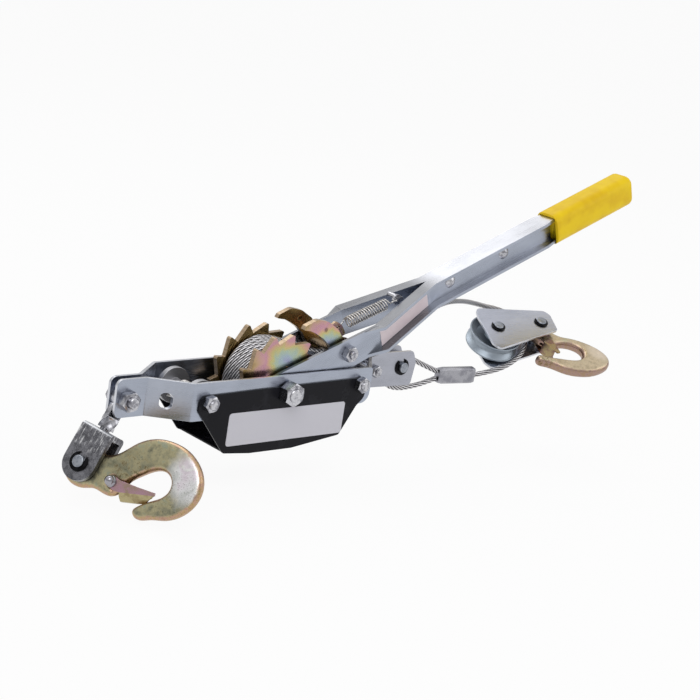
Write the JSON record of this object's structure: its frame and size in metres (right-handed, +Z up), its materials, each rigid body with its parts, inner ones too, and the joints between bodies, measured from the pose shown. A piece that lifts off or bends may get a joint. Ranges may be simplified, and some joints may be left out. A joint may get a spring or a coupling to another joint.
{
  "type": "come along winch",
  "caption": "Hand-lever cable puller: a ratchet drum of wire rope in a narrow frame, a latched anchor hook, and a pulley block with a latched load hook.",
  "frame": {"origin": "on the flat underside of the belly cover, below the drum axle, in the frame's mid-plane", "axes": "+X along the puller from the anchor hook towards the pulley block and the lever's grip, +Y from the labelled side to the plain side, +Z up through the drum axle"},
  "size_m": [0.6503, 0.1475, 0.2735],
  "materials": {
    "zinc_plate": "bright zinc-plated sheet with fine brushed streaks",
    "dark_zinc": "scuffed zinc-plated forging",
    "zinc_fastener": "bright zinc-plated fastener",
    "pawl_steel": "dark zinc-plated steel",
    "yellow_chromate": "yellow-chromate zinc with iridescent bands",
    "forged_hook": "mottled yellow-chromate forging",
    "polished_rivet": "polished ball rivet",
    "spring_steel": "bright spring wire",
    "black_clip": "blackened spring steel",
    "black_coat": "glossy black powder coat",
    "label_grey": "plain satin grey label",
    "sticker": "plain off-white sticker",
    "grip": "soft satin yellow plastic",
    "wire_rope": "galvanised six-strand wire rope",
    "ferrule": "pressed aluminium",
    "pulley_steel": "bluish plated steel"
  },
  "bodies": {
    "root": {"near_side_plate": "zinc_plate", "far_side_plate": "zinc_plate", "belly_cover": "black_coat", "cover_label": "label_grey", "head_bolt": "zinc_fastener", "head_nut": "zinc_fastener", "axle_bolt": "zinc_fastener", "axle_nut": "zinc_fastener", "axle_washers": "zinc_fastener", "cover_bolts": "zinc_fastener", "cover_nuts": "zinc_fastener", "rear_spacer": "zinc_fastener", "near_anchor_plate": "zinc_plate", "far_anchor_plate": "zinc_plate", "anchor_bolt": "zinc_fastener", "anchor_nut": "zinc_fastener", "anchor_spacer": "zinc_fastener", "anchor_pin": "zinc_fastener", "anchor_pin_clips": "black_clip", "stop_pawl_spring": "spring_steel", "block_near_plate": "zinc_plate", "block_far_plate": "zinc_plate", "pulley_pin": "zinc_fastener", "hook_pin": "zinc_fastener", "block_clips": "black_clip", "rope_run": "wire_rope", "rope_eye": "wire_rope", "rope_ferrule": "ferrule"},
    "handle": {"near_handle_half": "zinc_plate", "far_handle_half": "zinc_plate", "handle_rivets": "zinc_fastener", "handle_grip": "grip", "handle_label": "sticker", "pawl_bolt": "zinc_fastener", "pawl_nut": "zinc_fastener", "spring_post": "zinc_fastener", "pawl_spring": "spring_steel"},
    "drum": {"near_ratchet": "yellow_chromate", "far_ratchet": "yellow_chromate", "drum_sleeve": "yellow_chromate", "rope_core": "wire_rope", "rope_winding": "wire_rope"},
    "drive_pawl": {"drive_pawl": "yellow_chromate"},
    "stop_pawl": {"stop_pawl": "pawl_steel"},
    "link": {"head_link": "dark_zinc"},
    "clevis": {"clevis": "dark_zinc", "clevis_pin": "zinc_fastener", "clevis_clips": "black_clip"},
    "anchor_hook": {"anchor_hook": "forged_hook", "anchor_latch_rivet": "polished_rivet"},
    "anchor_latch": {"anchor_latch": "yellow_chromate", "anchor_latch_spring": "spring_steel"},
    "pulley": {"pulley": "pulley_steel"},
    "load_hook": {"load_hook": "forged_hook", "load_latch_rivet": "polished_rivet"},
    "load_latch": {"load_latch": "yellow_chromate", "load_latch_spring": "spring_steel"}
  },
  "joints": [
    {"name": "handle_swing", "type": "hinge", "parent": "root", "child": "handle", "pos_m": [0, 0, 0.0534], "axis": [0, -1, 0], "range_deg": [0, 96]},
    {"name": "drum_spin", "type": "hinge", "parent": "root", "child": "drum", "pos_m": [0, 0, 0.0534], "axis": [0, -1, 0], "continuous": true},
    {"name": "drive_pawl_rock", "type": "hinge", "parent": "handle", "child": "drive_pawl", "pos_m": [0.071, 0, 0.0824], "axis": [0, -1, 0], "range_deg": [0, 6], "stiffness_Nm_per_rad": 0.6, "springref_deg": -20.05, "deforming": ["pawl_spring"]},
    {"name": "stop_pawl_rock", "type": "hinge", "parent": "root", "child": "stop_pawl", "pos_m": [-0.0869, 0, 0.0507], "axis": [0, -1, 0], "range_deg": [0, 4], "stiffness_Nm_per_rad": 0.3, "springref_deg": -11.46},
    {"name": "link_swing", "type": "hinge", "parent": "root", "child": "link", "pos_m": [-0.1524, 0, 0.05], "axis": [0, 1, 0], "range_deg": [-27, 60]},
    {"name": "clevis_swivel", "type": "hinge", "parent": "link", "child": "clevis", "pos_m": [-0.18139, 0, -0.00593], "axis": [0.4602, 0, 0.8878], "range_deg": [-48, 12]},
    {"name": "anchor_hook_swing", "type": "hinge", "parent": "clevis", "child": "anchor_hook", "pos_m": [-0.18139, 0, -0.00593], "axis": [-0.8444, -0.309, 0.4377], "range_deg": [-190, 4]},
    {"name": "anchor_latch_open", "type": "hinge", "parent": "anchor_hook", "child": "anchor_latch", "pos_m": [-0.1728, -0.03138, -0.01151], "axis": [-0.8444, -0.309, 0.4377], "range_deg": [0, 30], "stiffness_Nm_per_rad": 0.05, "springref_deg": -28.65},
    {"name": "pulley_spin", "type": "hinge", "parent": "root", "child": "pulley", "pos_m": [0.3016, 0.0094, 0.0725], "axis": [-0.1499, -0.3807, 0.9125], "continuous": true},
    {"name": "load_hook_swing", "type": "hinge", "parent": "root", "child": "load_hook", "pos_m": [0.3532, -0.00035, 0.07691], "axis": [-0.1499, -0.3807, 0.9125], "range_deg": [0, 32]},
    {"name": "load_latch_open", "type": "hinge", "parent": "load_hook", "child": "load_latch", "pos_m": [0.35248, -0.01046, 0.07257], "axis": [-0.1499, -0.3807, 0.9125], "range_deg": [0, 30], "stiffness_Nm_per_rad": 0.05, "springref_deg": -28.65}
  ]
}
